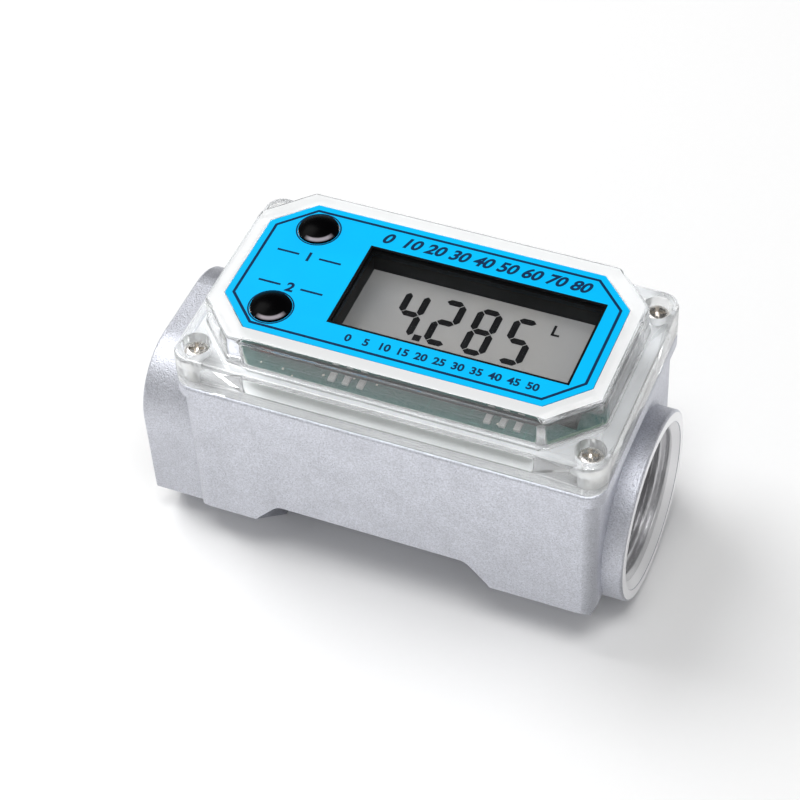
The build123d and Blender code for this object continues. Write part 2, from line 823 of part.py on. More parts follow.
os.makedirs("parts", exist_ok=True)
for name, shape in nodes.items():
    export_step(shape, f"parts/{name}.step")
    print(name, len(shape.solids()), round(shape.volume, 1))
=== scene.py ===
"""Looks of the inline turbine flow meter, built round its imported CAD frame.

Sizes are in millimetres until a mesh is made. +X runs with the flow, +Y runs from the
front button to the back one, and +Z points up out of the display.
"""

import logging
from dataclasses import dataclass
from enum import Enum
from functools import cache
from math import cos, pi, radians, sin

import bpy
import numpy as np
from mathutils import Matrix, Vector

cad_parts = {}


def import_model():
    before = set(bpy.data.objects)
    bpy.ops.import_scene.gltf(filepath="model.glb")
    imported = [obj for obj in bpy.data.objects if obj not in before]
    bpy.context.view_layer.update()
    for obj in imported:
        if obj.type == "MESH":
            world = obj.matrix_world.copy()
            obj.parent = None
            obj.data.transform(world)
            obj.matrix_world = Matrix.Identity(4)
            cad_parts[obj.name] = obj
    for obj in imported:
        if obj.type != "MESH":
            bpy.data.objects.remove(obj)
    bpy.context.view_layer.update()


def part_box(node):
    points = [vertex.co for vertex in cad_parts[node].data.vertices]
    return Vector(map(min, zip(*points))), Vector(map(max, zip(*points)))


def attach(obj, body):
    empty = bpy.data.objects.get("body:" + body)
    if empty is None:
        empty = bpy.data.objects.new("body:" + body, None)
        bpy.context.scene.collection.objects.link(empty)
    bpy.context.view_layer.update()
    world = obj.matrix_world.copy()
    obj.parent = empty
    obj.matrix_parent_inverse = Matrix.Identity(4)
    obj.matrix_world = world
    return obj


Array = np.ndarray
Pair = tuple[float, float]
Triple = tuple[float, float, float]
Colour = Triple
Material = bpy.types.Material
Socket = bpy.types.NodeSocket
Value = float | tuple | Socket

MILLIMETRE = 0.001
BEZEL_WALL = 1.7
log = logging.getLogger("flow_meter")


@dataclass(frozen=True)
class Box:
    """A CAD node's lowest and highest corners, in millimetres."""

    low: Array
    high: Array

    @classmethod
    def of(cls, node: str) -> "Box":
        """Reads a node's box from the frame.

        Args:
            node: name of the CAD node.

        Returns:
            Its box at rest.
        """
        low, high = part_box(node)
        return cls(np.array(low) / MILLIMETRE, np.array(high) / MILLIMETRE)

    @property
    def centre(self) -> Array:
        """The middle of the box."""
        return (self.low + self.high) / 2

    @property
    def size(self) -> Array:
        """Its three lengths."""
        return self.high - self.low


def place_in_scene(name: str, data: bpy.types.ID) -> bpy.types.Object:
    """Makes an object of some data and adds it to the scene."""
    thing = bpy.data.objects.new(name, data)
    bpy.context.scene.collection.objects.link(thing)
    return thing


@dataclass
class Skin:
    """Points in millimetres and the faces between them."""

    points: Array
    faces: list[tuple[int, ...]]

    def piece(self, name: str, smooth: float | None = None) -> bpy.types.Object:
        """Makes the mesh object.

        Args:
            name: the piece's name.
            smooth: angle in degrees below which edges are shaded smooth, or None for flat faces.

        Returns:
            The object, at the origin, in metres.
        """
        mesh = bpy.data.meshes.new(name)
        mesh.from_pydata((self.points * MILLIMETRE).tolist(), [], self.faces)
        mesh.update()
        piece = place_in_scene(name, mesh)
        if smooth is not None:
            mesh.shade_smooth()
            mesh.set_sharp_from_angle(angle=radians(smooth))
        return piece


def joined(skins: list[Skin]) -> Skin:
    """Several skins as one, with each one's faces counted on from the points before it."""
    faces: list[tuple[int, ...]] = []
    start = 0
    for skin in skins:
        faces += [tuple(index + start for index in face) for face in skin.faces]
        start += len(skin.points)
    return Skin(np.concatenate([skin.points for skin in skins]), faces)


def grid(points: Array) -> Skin:
    """Quads over a surface that closes on itself both ways.

    Args:
        points: array of shape (u, v, 3), a function of two parameters.

    Returns:
        The skin, facing along the cross product of the v and u directions.
    """
    rows, columns = points.shape[:2]
    u, v = np.indices((rows, columns)).reshape(2, -1)
    u_next, v_next = (u + 1) % rows, (v + 1) % columns
    faces = np.stack([u * columns + v, u * columns + v_next, u_next * columns + v_next,
                      u_next * columns + v], axis=1)
    return Skin(points.reshape(-1, 3), [tuple(face) for face in faces.tolist()])


def plate(outline: Array, bottom: float, top: float) -> Skin:
    """A flat plate: the outline, anticlockwise, carried from one height to another.

    Args:
        outline: array of shape (n, 2).
        bottom: height of the lower face.
        top: height of the upper face.

    Returns:
        A closed skin.
    """
    count = len(outline)
    layers = [np.column_stack([outline, np.full(count, height)]) for height in (bottom, top)]
    index = np.arange(count)
    following = (index + 1) % count
    sides = np.stack([index, following, following + count, index + count], axis=1)
    faces = [tuple(side) for side in sides.tolist()]
    faces += [tuple((index + count).tolist()), tuple(index[::-1].tolist())]
    return Skin(np.concatenate(layers), faces)


def frame_ring(outer: Array, inner: Array, bottom: float, top: float) -> Skin:
    """A flat ring between two anticlockwise outlines with as many points each.

    The section is the rectangle outer bottom, outer top, inner top, inner bottom, carried round.
    """
    corners = [(outer, bottom), (outer, top), (inner, top), (inner, bottom)]
    points = np.stack([np.column_stack([line, np.full(len(line), height)])
                       for line, height in corners], axis=1)
    return grid(points)


def rectangle(length: float, width: float, centre: Array | Pair = (0.0, 0.0)) -> Array:
    """Four corners of a rectangle about a centre, anticlockwise."""
    signs = np.array([(-1, -1), (1, -1), (1, 1), (-1, 1)])
    return signs * (length / 2, width / 2) + centre


def octagon(half_length: float, half_width: float, cut: float) -> Array:
    """Eight corners of a rectangle with its corners cut at 45 degrees, anticlockwise."""
    a, b = half_length, half_width
    return np.array([(a, cut - b), (a, b - cut), (a - cut, b), (cut - a, b),
                     (-a, b - cut), (-a, cut - b), (cut - a, -b), (a - cut, -b)])


def octagon_band(size: Array, cut: float, centre: Array, inset: float, width: float, bottom: float,
                 top: float) -> Skin:
    """A flat band between two octagons.

    The first lies an inset in from a rectangle with cut corners, and the second a width further in.
    """
    half_length, half_width = size / 2
    lines = [octagon(half_length - step, half_width - step, cut - step * (2 - 2 ** 0.5)) + centre
             for step in (inset, inset + width)]
    return frame_ring(*lines, bottom, top)


def circle(radius: float, count: int = 64) -> Array:
    """Points on a circle, anticlockwise: radius times the cosine and sine of an even angle."""
    angle = np.linspace(0, 2 * pi, count, endpoint=False)
    return radius * np.column_stack([np.cos(angle), np.sin(angle)])


class Graph:
    """A material's node tree, with the point on the piece in millimetres and short calls for nodes."""

    def __init__(self, name: str) -> None:
        """Starts an empty tree.

        Args:
            name: the material's name.
        """
        self.material = bpy.data.materials.new(name)
        self.material.use_nodes = True
        self.tree = self.material.node_tree
        self.tree.nodes.clear()
        self.output = self.tree.nodes.new("ShaderNodeOutputMaterial")
        place = self.add("TexCoord", {}).outputs["Object"]
        scaled = self.add("VectorMath", {0: place, "Scale": 1 / MILLIMETRE}, operation="SCALE")
        self.point = scaled.outputs["Vector"]

    def feed(self, socket: Socket, value: Value) -> None:
        """Links a socket, or sets its number or colour."""
        if isinstance(value, bpy.types.NodeSocket):
            self.tree.links.new(value, socket)
        elif socket.type == "RGBA":
            socket.default_value = (*value[:3], 1.0)
        else:
            socket.default_value = value

    def add(self, kind: str, inputs: dict[str | int, Value], **settings: object) -> bpy.types.Node:
        """Adds a node.

        Args:
            kind: the node's type without its ShaderNode prefix.
            inputs: a value or a socket for each input, by name or number.
            **settings: the node's own options.

        Returns:
            The node.
        """
        node = self.tree.nodes.new("ShaderNode" + kind)
        for option, value in settings.items():
            setattr(node, option, value)
        for key, value in inputs.items():
            self.feed(node.inputs[key], value)
        return node

    def spread(self, per_mm: float | Triple) -> dict[str | int, Value]:
        """A texture's place and scale from its patches in a millimetre, one number or one an axis."""
        if isinstance(per_mm, float):
            return {"Vector": self.point, "Scale": per_mm}
        place = self.add("VectorMath", {0: self.point, 1: per_mm}, operation="MULTIPLY")
        return {"Vector": place.outputs["Vector"], "Scale": 1.0}

    def coordinates(self, point: Socket) -> tuple[Socket, Socket, Socket]:
        """The x, y and z of a point."""
        parts = self.add("SeparateXYZ", {0: point}).outputs
        return parts["X"], parts["Y"], parts["Z"]

    def math(self, operation: str, a: Value, *others: Value) -> Socket:
        """An operation such as SINE or ADD on one number or two, or carried on through several."""
        for other in others or (0.0,):
            a = self.add("Math", {0: a, 1: other}, operation=operation).outputs[0]
        return a

    def product(self, *numbers: Value) -> Socket:
        """All the numbers multiplied together."""
        return self.math("MULTIPLY", *numbers)

    def dot(self, a: Value, b: Value) -> Socket:
        """The dot product of two directions."""
        return self.add("VectorMath", {0: a, 1: b}, operation="DOT_PRODUCT").outputs["Value"]

    def normal(self) -> Socket:
        """The direction that the surface faces."""
        return self.add("NewGeometry", {}).outputs["Normal"]

    def blend(self, share: Value, a: Value, b: Value) -> Socket:
        """A colour between two, by a share from 0 to 1."""
        node = self.add("Mix", {"Factor": share}, data_type="RGBA")
        self.feed(node.inputs[6], a)
        self.feed(node.inputs[7], b)
        return node.outputs[2]

    def span(self, value: Value, low: float, high: float, new_low: float, new_high: float) -> Socket:
        """A number moved from one range to another, and kept inside the new one."""
        return self.add("MapRange", {"Value": value, "From Min": low, "From Max": high,
                                     "To Min": new_low, "To Max": new_high}).outputs[0]

    def between(self, noise: Socket, new_low: float, new_high: float) -> Socket:
        """A noise's usual range, from 0.3 to 0.7, moved to another."""
        return self.span(noise, 0.3, 0.7, new_low, new_high)

    def noise(self, per_mm: float | Triple, detail: float = 3.0) -> Socket:
        """Soft noise with about this many patches in a millimetre."""
        return self.add("TexNoise", self.spread(per_mm) | {"Detail": detail}).outputs[0]

    def cells(self, per_mm: float | Triple) -> Socket:
        """Distance from the nearest of scattered points."""
        return self.add("TexVoronoi", self.spread(per_mm)).outputs["Distance"]

    def bump(self, height: Socket, depth: float) -> Socket:
        """A normal from a height of 0 to 1, which is so many millimetres deep."""
        return self.add("Bump", {"Height": height, "Distance": depth * MILLIMETRE}).outputs[0]

    def textured(self, noise: Socket, low: float, high: float, depth: float,
                 **sockets: Value) -> Material:
        """Ends the tree in a surface whose roughness and relief both come from one noise."""
        normal = self.bump(noise, depth)
        return self.finish(Roughness=self.between(noise, low, high), Normal=normal, **sockets)

    def finish(self, **sockets: Value) -> Material:
        """Ends the tree in one Principled shader.

        Args:
            **sockets: its inputs, with underscores for the spaces in their names.

        Returns:
            The material.
        """
        inputs = {name.replace("_", " "): value for name, value in sockets.items()}
        self.shader = self.add("BsdfPrincipled", inputs)
        self.tree.links.new(self.shader.outputs[0], self.output.inputs["Surface"])
        return self.material


@dataclass(frozen=True)
class CastMetal:
    """Bead blasted cast aluminium, with the faces and bores that a cutter has been over."""

    axis_height: float
    inlet_face: float
    outlet_face: float
    top_face: float
    bore_radius: float = 17.95
    face_reach: float = 0.05
    cast_colour: Colour = (0.60, 0.612, 0.662)
    pit_colour: Colour = (0.30, 0.305, 0.34)
    cut_colour: Colour = (0.93, 0.93, 0.94)
    cutter_mark: Colour = (0.62, 0.62, 0.64)
    grain_per_mm: float = 3.1
    cloud_per_mm: float = 0.16
    pits_per_mm: float = 2.0
    # direction of the outlet corner, where faces get painted shade
    corner_way: Triple = (0.82, -0.57, 0.0)
    cutter_pitch: float = 0.28
    relief: float = 0.11

    def machined(self, graph: Graph, x: Socket, z: Socket, radius: Socket) -> Socket:
        """1 on the end faces, in the bores and on the sealing face, and 0 on cast skin."""
        return graph.math("MAXIMUM", graph.math("GREATER_THAN", x, self.outlet_face - self.face_reach),
                          graph.math("LESS_THAN", x, self.inlet_face + self.face_reach),
                          graph.math("LESS_THAN", radius, self.bore_radius),
                          graph.math("GREATER_THAN", z, self.top_face - self.face_reach))

    def cast_skin(self, graph: Graph, grain: Socket, pits: Socket) -> Socket:
        """The blasted skin's colour.

        It is speckled by the pits and clouded, and carries painted shade: lighter towards the top,
        darker towards the feet, and darker where it faces the outlet corner.

        Args:
            graph: the node tree.
            grain: fine noise.
            pits: 1 in the middle of a pit and 0 between them.

        Returns:
            The colour.
        """
        speckle = graph.product(pits, graph.span(grain, 0.42, 0.60, 0.0, 1.0))
        skin = graph.blend(speckle, self.cast_colour, self.pit_colour)
        cloud = graph.between(graph.noise(self.cloud_per_mm), 0.95, 1.05)
        fine = graph.span(grain, 0.32, 0.68, 0.82, 1.17)
        # painted shade: lighter towards the top and darker towards the feet
        height = graph.span(graph.coordinates(graph.point)[2], 0.0, self.top_face, 0.83, 1.12)
        # painted shade: darker where the skin faces the outlet corner
        corner = graph.span(graph.dot(graph.normal(), self.corner_way), 0.80, 0.99, 1.0, 0.72)
        # the grain and cloud tone times the painted shade of the height and the corner
        light = graph.product(cloud, fine, height, corner)
        return graph.add("VectorMath", {0: skin, "Scale": light}, operation="SCALE").outputs[0]

    def cutter_rings(self, graph: Graph, x: Socket, radius: Socket) -> Socket:
        """Fine turned rings from 0 to 1: the sine of the radius and the station over the pitch."""
        turns = graph.math("ADD", radius, graph.product(x, 0.9))
        wander = graph.product(graph.noise(0.5), 0.3)
        phase = graph.product(graph.math("ADD", turns, wander), 2 * pi / self.cutter_pitch)
        return graph.span(graph.math("SINE", phase), -1.0, 1.0, 0.0, 1.0)

    def material(self) -> Material:
        """Builds the node tree."""
        graph = Graph("cast_aluminium")
        x, y, z = graph.coordinates(graph.point)
        up = graph.math("SUBTRACT", z, self.axis_height)
        radius = graph.math("SQRT", graph.math("ADD", graph.product(y, y), graph.product(up, up)))
        cut = self.machined(graph, x, z, radius)
        grain = graph.noise(self.grain_per_mm, 5.0)
        pits = graph.span(graph.cells(self.pits_per_mm), 0.12, 0.36, 1.0, 0.0)
        skin = self.cast_skin(graph, grain, pits)
        rings = self.cutter_rings(graph, x, radius)
        bright = graph.blend(graph.product(rings, 0.35), self.cut_colour, self.cutter_mark)
        rough = graph.math("ADD", graph.between(grain, 0.42, 0.58), graph.product(cut, -0.08))
        blasted = graph.math("ADD", graph.product(grain, 0.8), graph.product(pits, -0.35))
        height = graph.math("ADD", graph.product(blasted, graph.math("SUBTRACT", 1.0, cut)),
                            graph.product(rings, 0.12, cut))
        return graph.finish(Base_Color=graph.blend(cut, skin, bright), Metallic=1.0, Roughness=rough,
                            Normal=graph.bump(height, self.relief))


@dataclass(frozen=True)
class CutThread:
    """Bright tapped aluminium with fine tool lines along the turns."""

    dull: Colour = (0.55, 0.55, 0.57)
    bright: Colour = (0.86, 0.86, 0.87)

    def material(self) -> Material:
        """Builds the node tree."""
        graph = Graph("tapped_aluminium")
        lines = graph.noise((9.0, 0.6, 0.6), 4.0)
        tone = graph.blend(lines, self.dull, self.bright)
        return graph.textured(lines, 0.36, 0.50, 0.012, Base_Color=tone, Metallic=1.0)


@dataclass(frozen=True)
class ClearPlastic:
    """Moulded clear polycarbonate that lets lamps through to what is under it."""

    tint: Colour = (0.985, 0.995, 1.0)
    index: float = 1.585
    skins: tuple[tuple[str, float, float], ...] = (
        ("cover_moulded", 0.97, 0.05), ("cover_polished", 1.0, 0.002), ("cover_frosted", 0.22, 0.05),
        ("cover_well", 0.72, 0.05), ("cover_flange", 0.82, 0.05))
    plate_reach: float = 4.0
    dome_inset: Triple = (3.2, 2.9, 9.0)
    lamp_tint: Colour = (0.95, 0.96, 0.97)
    head_radius: float = 2.7
    well_radius: float = 3.9
    level_share: float = 0.99
    film_margin: float = 0.2
    border_reach: float = 0.02

    def material(self, name: str, clearness: float, wave: float) -> Material:
        """Builds the node tree: glass, and plain clear to the rays that look for a lamp.

        Args:
            name: the material's name.
            clearness: share of the light that goes through. A hazy skin scatters the rest.
            wave: depth of the slow waves that the mould leaves, in millimetres.

        Returns:
            The material.
        """
        graph = Graph(name)
        flow = graph.noise(0.14, 2.0)
        grain = graph.noise(1.3, 2.0)
        height = graph.math("ADD", flow, graph.product(grain, 0.04))
        rough = graph.span(graph.noise(0.3, 4.0), 0.35, 0.75, 0.005, 0.03)
        material = graph.finish(Base_Color=self.tint, Roughness=rough, IOR=self.index,
                                Transmission_Weight=clearness, Normal=graph.bump(height, wave))
        lamp = graph.add("LightPath", {}).outputs["Is Shadow Ray"]
        clear = graph.add("BsdfTransparent", {0: self.lamp_tint})
        mixed = graph.add("MixShader", {0: lamp, 1: graph.shader.outputs[0], 2: clear.outputs[0]})
        graph.tree.links.new(mixed.outputs[0], graph.output.inputs["Surface"])
        return material

    def outside_dome(self, places: Array, cover: Box) -> Array:
        """Tells which places lie on the flange, beyond the dome's eight sides.

        Args:
            places: array of shape (n, 2).
            cover: box of the cover.

        Returns:
            One truth value for each place.
        """
        end, side, cut = self.dome_inset
        half = cover.size[:2] / 2 - (end, side)
        reach = np.abs(places - cover.centre[:2])
        return (reach > half).any(axis=1) | (reach.sum(axis=1) > half.sum() - cut)

    def dress(self, node: str, label: Box, heads: Box) -> None:
        """Gives the cover its five skins by the place and direction of each face.

        The plate over the window is polished, the level border round the film is frosted, the
        screws' wells are matt and the flange is hazy. The dome's walls have the mould's clear skin.

        Args:
            node: name of the cover's node.
            label: box of the film that lies in the cover.
            heads: box round all four screw heads.
        """
        mesh = bpy.data.objects[node].data
        mesh.materials.clear()
        for name, clearness, wave in self.skins:
            mesh.materials.append(self.material(name, clearness, wave))
        centres = np.array([face.center for face in mesh.polygons]) / MILLIMETRE
        level = np.abs([face.normal.z for face in mesh.polygons]) > self.level_share
        inside = np.abs(centres[:, :2] - label.centre[:2]) < label.size[:2] / 2 + self.film_margin
        plate_low = label.low[2] - self.plate_reach
        under_film = inside.all(axis=1) & level & (centres[:, 2] > plate_low)
        border = level & (centres[:, 2] > label.high[2] - self.border_reach)
        corner = np.abs(centres[:, :2] - heads.centre[:2]) - (heads.size[:2] / 2 - self.head_radius)
        well = np.hypot(*corner.T) < self.well_radius
        flange = self.outside_dome(centres[:, :2], Box.of(node))
        moulded, polished, frosted, matt, hazy = range(len(self.skins))
        skins = np.select([border, well, under_film, flange], [frosted, matt, polished, hazy],
                          moulded)
        mesh.polygons.foreach_set("material_index", skins.astype(np.int32))
        log.info("dressed %s: %s faces of each skin", node, np.bincount(skins).tolist())


@dataclass(frozen=True)
class PrintedFilm:
    """The cyan face film: screen printed ink under a fine satin top."""

    ink: Colour = (0.0, 0.485, 0.92)
    worn: Colour = (0.0, 0.510, 0.95)

    def material(self) -> Material:
        """Builds the node tree."""
        graph = Graph("cyan_film")
        cloud = graph.noise(0.07, 2.0)
        satin = graph.noise(5.0, 2.0)
        colour = graph.blend(graph.span(cloud, 0.35, 0.65, 0.0, 1.0), self.ink, self.worn)
        return graph.textured(satin, 0.30, 0.42, 0.012, Base_Color=colour, Specular_IOR_Level=0.16)


class Ink(Enum):
    """Colours that are printed or switched on."""

    NAVY = (0.006, 0.028, 0.085)
    BLACK = (0.004, 0.004, 0.005)
    SEGMENT = (0.0025, 0.0025, 0.003)

    @cache
    def material(self) -> Material:
        """A printed layer with slightly uneven cover."""
        graph = Graph("ink_" + self.name.lower())
        cover = graph.noise(2.2, 3.0)
        thin = tuple(min(1.0, part * 1.5 + 0.002) for part in self.value)
        colour = graph.blend(graph.span(cover, 0.5, 0.8, 0.0, 0.7), self.value, thin)
        return graph.textured(cover, 0.34, 0.48, 0.004, Base_Color=colour, Specular_IOR_Level=0.10)


class Metal(Enum):
    """Small metal finishes: colour, least and most roughness, grain per millimetre."""

    NICKEL = ((0.93, 0.90, 0.86), 0.22, 0.34, 1.4)
    STEEL = ((0.56, 0.56, 0.57), 0.14, 0.26, 2.0)
    TIN = ((0.72, 0.72, 0.72), 0.22, 0.38, 2.4)
    COPPER = ((0.80, 0.36, 0.18), 0.20, 0.34, 1.6)
    BRONZE = ((0.62, 0.42, 0.22), 0.30, 0.46, 3.0)
    IRON = ((0.26, 0.25, 0.25), 0.35, 0.55, 1.8)

    @cache
    def material(self) -> Material:
        """A metal with fine uneven polish."""
        colour, low, high, grain = self.value
        graph = Graph(self.name.lower())
        fine = graph.noise(grain * 3, 4.0)
        broad = graph.noise(grain * 0.4, 2.0)
        dull = tuple(part * 0.72 for part in colour)
        shade = graph.blend(graph.span(broad, 0.4, 0.75, 0.0, 0.8), colour, dull)
        return graph.textured(fine, low, high, 0.006, Base_Color=shade, Metallic=1.0)


class Plastic(Enum):
    """Moulded plastics and rubber: colour, roughness, shine, grain depth in millimetres."""

    BEZEL_BLACK = ((0.0022, 0.003, 0.0036), 0.50, 0.20, 0.012)
    NYLON_BLACK = ((0.018, 0.018, 0.020), 0.48, 0.40, 0.020)
    NYLON_NATURAL = ((0.66, 0.63, 0.55), 0.40, 0.45, 0.015)
    ROTOR_WHITE = ((0.70, 0.70, 0.68), 0.34, 0.50, 0.010)
    SEAL_WHITE = ((0.90, 0.90, 0.90), 0.50, 0.35, 0.012)
    EPOXY_BLACK = ((0.016, 0.016, 0.017), 0.50, 0.35, 0.010)
    CONNECTOR_PINK = ((0.50, 0.20, 0.20), 0.55, 0.30, 0.010)
    SWITCH_STEM = ((0.55, 0.06, 0.04), 0.35, 0.45, 0.006)

    @cache
    def material(self) -> Material:
        """A moulding with a fine skin, slow colour drift and slightly uneven gloss."""
        colour, rough, shine, depth = self.value
        graph = Graph(self.name.lower())
        skin = graph.noise(3.2, 4.0)
        drift = graph.noise(0.12, 2.0)
        lighter = tuple(min(1.0, part * 1.18 + 0.002) for part in colour)
        shade = graph.blend(graph.span(drift, 0.35, 0.7, 0.0, 1.0), colour, lighter)
        return graph.textured(skin, rough * 0.85, rough * 1.15, depth, Base_Color=shade,
                              Specular_IOR_Level=shine)


@dataclass(frozen=True)
class ButtonGloss:
    """Black moulded caps with a painted highlight: a pale crescent on the front edge."""

    black: Colour = (0.0012, 0.0011, 0.0014)
    # colour of the painted highlight on the front edge
    worn: Colour = (0.37, 0.33, 0.36)
    front: Triple = (0.425, -0.905, 0.0)
    band: tuple[float, float, float, float] = (0.452, 0.485, 0.52, 0.545)
    spread: Pair = (0.64, 0.88)

    def material(self) -> Material:
        """Builds the node tree.

        The pale crescent is a painted highlight. The dome's lean is the root of one less the square of
        its normal's z. The band lies between four values of it, and only where the way that it leans is
        near the front.
        """
        graph = Graph("button_gloss")
        skin = graph.noise(3.2, 4.0)
        normal = graph.normal()
        up = graph.coordinates(normal)[2]
        lean = graph.math("SQRT", graph.math("SUBTRACT", 1.0, graph.product(up, up)))
        way = graph.math("DIVIDE", graph.dot(normal, self.front), graph.math("MAXIMUM", lean, 0.01))
        start, full, end, gone = self.band
        # painted highlight: a pale crescent on the dome's front edge
        painted_highlight = graph.product(graph.span(lean, start, full, 0.0, 1.0),
                                 graph.span(lean, end, gone, 1.0, 0.0),
                                 graph.span(way, *self.spread, 0.0, 1.0))
        colour = graph.blend(painted_highlight, self.black, self.worn)
        return graph.textured(skin, 0.24, 0.34, 0.003, Base_Color=colour, Specular_IOR_Level=0.025)


@dataclass(frozen=True)
class LiquidCrystal:
    """The grey reflective display panel."""

    grey: Colour = (0.215, 0.213, 0.211)

    def material(self) -> Material:
        """Builds the node tree: a grey reflector under a polished film, with faint rubbing lines."""
        graph = Graph("liquid_crystal")
        lines = graph.noise((0.4, 6.0, 1.0), 2.0)
        drift = graph.noise(0.05, 1.0)
        warmer = (self.grey[0] * 1.10, self.grey[1] * 1.07, self.grey[2] * 1.03)
        colour = graph.blend(graph.span(drift, 0.35, 0.65, 0.0, 1.0), self.grey, warmer)
        return graph.textured(lines, 0.40, 0.46, 0.002, Base_Color=colour, Specular_IOR_Level=0.06)


@dataclass(frozen=True)
class BoardLaminate:
    """Green solder mask over copper tracks, on a glass fibre board."""

    top: float
    mask: Colour = (0.006, 0.088, 0.074)
    track: Colour = (0.020, 0.180, 0.135)
    via: Colour = (0.62, 0.60, 0.50)
    fibre: Colour = (0.16, 0.27, 0.17)
    resin: Colour = (0.07, 0.20, 0.12)

    def material(self) -> Material:
        """Builds the node tree: two runs of long cells make the tracks, and scattered dots the vias."""
        graph = Graph("green_board")
        z = graph.coordinates(graph.point)[2]
        lengthwise = graph.cells((0.12, 1.15, 0.0))
        across = graph.cells((0.95, 0.10, 0.0))
        tracks = graph.math("MAXIMUM", graph.math("LESS_THAN", lengthwise, 0.17),
                            graph.math("LESS_THAN", across, 0.13))
        dots = graph.cells((0.42, 0.42, 0.0))
        vias = graph.math("LESS_THAN", dots, 0.11)
        face = graph.blend(tracks, self.mask, self.track)
        face = graph.blend(vias, face, self.via)
        edge = graph.math("LESS_THAN", z, self.top - 0.04)
        weave = graph.noise((2.0, 2.0, 9.0), 2.0)
        side = graph.blend(weave, self.fibre, self.resin)
        colour = graph.blend(edge, face, side)
        height = graph.math("ADD", tracks, graph.product(weave, 0.1))
        return graph.finish(Base_Color=colour, Roughness=graph.between(weave, 0.22, 0.36),
                            Specular_IOR_Level=0.5, Normal=graph.bump(height, 0.03))


@dataclass(frozen=True)
class BatterySleeve:
    """A shrink sleeve on a cell: a plain colour with a bare metal end band."""

    start: float
    stop: float
    band: float = 3.4
    sleeve: Colour = (0.020, 0.060, 0.16)
    stripe: Colour = (0.58, 0.60, 0.62)

    def material(self) -> Material:
        """Builds the node tree: bands by the distance along the cell."""
        graph = Graph("battery_sleeve")
        x = graph.coordinates(graph.point)[0]
        ends = graph.math("MAXIMUM", graph.math("LESS_THAN", x, self.start + self.band),
                          graph.math("GREATER_THAN", x, self.stop - self.band))
        fold = graph.noise((0.2, 1.2, 1.2), 3.0)
        colour = graph.blend(ends, self.sleeve, self.stripe)
        rough = graph.math("ADD", graph.between(fold, 0.20, 0.34), graph.product(ends, 0.05))
        return graph.finish(Base_Color=colour, Metallic=graph.product(ends, 0.9), Roughness=rough,
                            Normal=graph.bump(fold, 0.02))


@dataclass(frozen=True)
class SmallParts:
    """Chips and one can: pale ceramic, black bodies and a bright can by place on the board."""

    can_left: float
    can_right: float
    front_edge: float
    ceramic: tuple[Colour, Colour] = ((0.40, 0.39, 0.37), (0.58, 0.57, 0.55))
    black: Colour = (0.03, 0.03, 0.03)
    bright: Colour = (0.55, 0.56, 0.58)

    def material(self) -> Material:
        """Builds the node tree."""
        graph = Graph("small_parts")
        x, y, _ = graph.coordinates(graph.point)
        can = graph.product(graph.math("GREATER_THAN", x, self.can_left),
                            graph.math("LESS_THAN", x, self.can_right),
                            graph.math("GREATER_THAN", y, 0.0))
        front = graph.math("LESS_THAN", y, self.front_edge)
        grain = graph.noise(2.0, 3.0)
        body = graph.blend(front, self.black, graph.blend(grain, *self.ceramic))
        colour = graph.blend(can, body, self.bright)
        return graph.textured(grain, 0.28, 0.42, 0.01, Base_Color=colour, Metallic=can)


PLAIN_NODES: dict[Metal | Plastic, tuple[str, ...]] = {
    Metal.NICKEL: ("cover_screws",),
    Metal.STEEL: ("rotor_shaft", "thrust_washers", "retaining_ring", "board_screws",
                  "battery_contacts"),
    Metal.TIN: ("crystal", "coil_pins", "battery_pins"),
    Metal.COPPER: ("coil_winding",),
    Metal.BRONZE: ("rotor_bushes",),
    Metal.IRON: ("coil_core", "rotor_magnets"),
    Plastic.BEZEL_BLACK: ("display_bezel",),
    Plastic.NYLON_BLACK: ("inlet_support", "outlet_support", "flow_sleeve", "battery_tray"),
    Plastic.NYLON_NATURAL: ("pickup_coil",),
    Plastic.ROTOR_WHITE: ("turbine_rotor",),
    Plastic.SEAL_WHITE: ("cover_gasket",),
    Plastic.EPOXY_BLACK: ("microcontroller", "front_switch", "back_switch"),
    Plastic.CONNECTOR_PINK: ("display_connectors",),
    Plastic.SWITCH_STEM: ("front_plunger", "back_plunger"),
}


def dress(material: Material, *nodes: str) -> None:
    """Gives CAD nodes their finish.

    Args:
        material: what they are made of.
        *nodes: names of the nodes.
    """
    for node in nodes:
        materials = bpy.data.objects[node].data.materials
        materials.clear()
        materials.append(material)
        log.info("dressed %s in %s", node, material.name)


def settle(piece: bpy.types.Object, material: Material, body: str) -> None:
    """Gives a new piece its finish, body and slot.

    Args:
        piece: the new mesh object.
        material: what it is made of.
        body: CAD body that it moves with.
    """
    piece.data.materials.append(material)
    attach(piece, body)
    log.info("built %s with %d faces", piece.name, len(piece.data.polygons))


def lettering(text: str, height: float, place: Array, thickness: float, shear: float = 0.0,
              weight: float = 0.0) -> Skin:
    """Plain numerals as a thin solid.

    Args:
        text: what is printed.
        height: height of a numeral.
        place: centre of the text on the surface it lies on, in millimetres.
        thickness: how far it stands up.
        shear: lean of the letters.
        weight: how much wider each stroke is made on each side, in millimetres.

    Returns:
        The skin of all the characters.
    """
    cap_share = 0.729
    curve = bpy.data.curves.new("numerals", "FONT")
    curve.body = text
    curve.size = height / cap_share
    curve.shear = shear
    curve.offset = weight
    curve.align_x = "CENTER"
    curve.extrude = thickness / 2
    curve.resolution_u = 5
    holder = place_in_scene("numerals", curve)
    bpy.context.view_layer.update()
    mesh = bpy.data.meshes.new_from_object(holder)
    points = np.array([vertex.co for vertex in mesh.vertices])
    points += place + (0, -height / 2, thickness / 2)
    faces = [tuple(face.vertices) for face in mesh.polygons]
    bpy.data.objects.remove(holder)
    bpy.data.curves.remove(curve)
    bpy.data.meshes.remove(mesh)
    return Skin(points, faces)


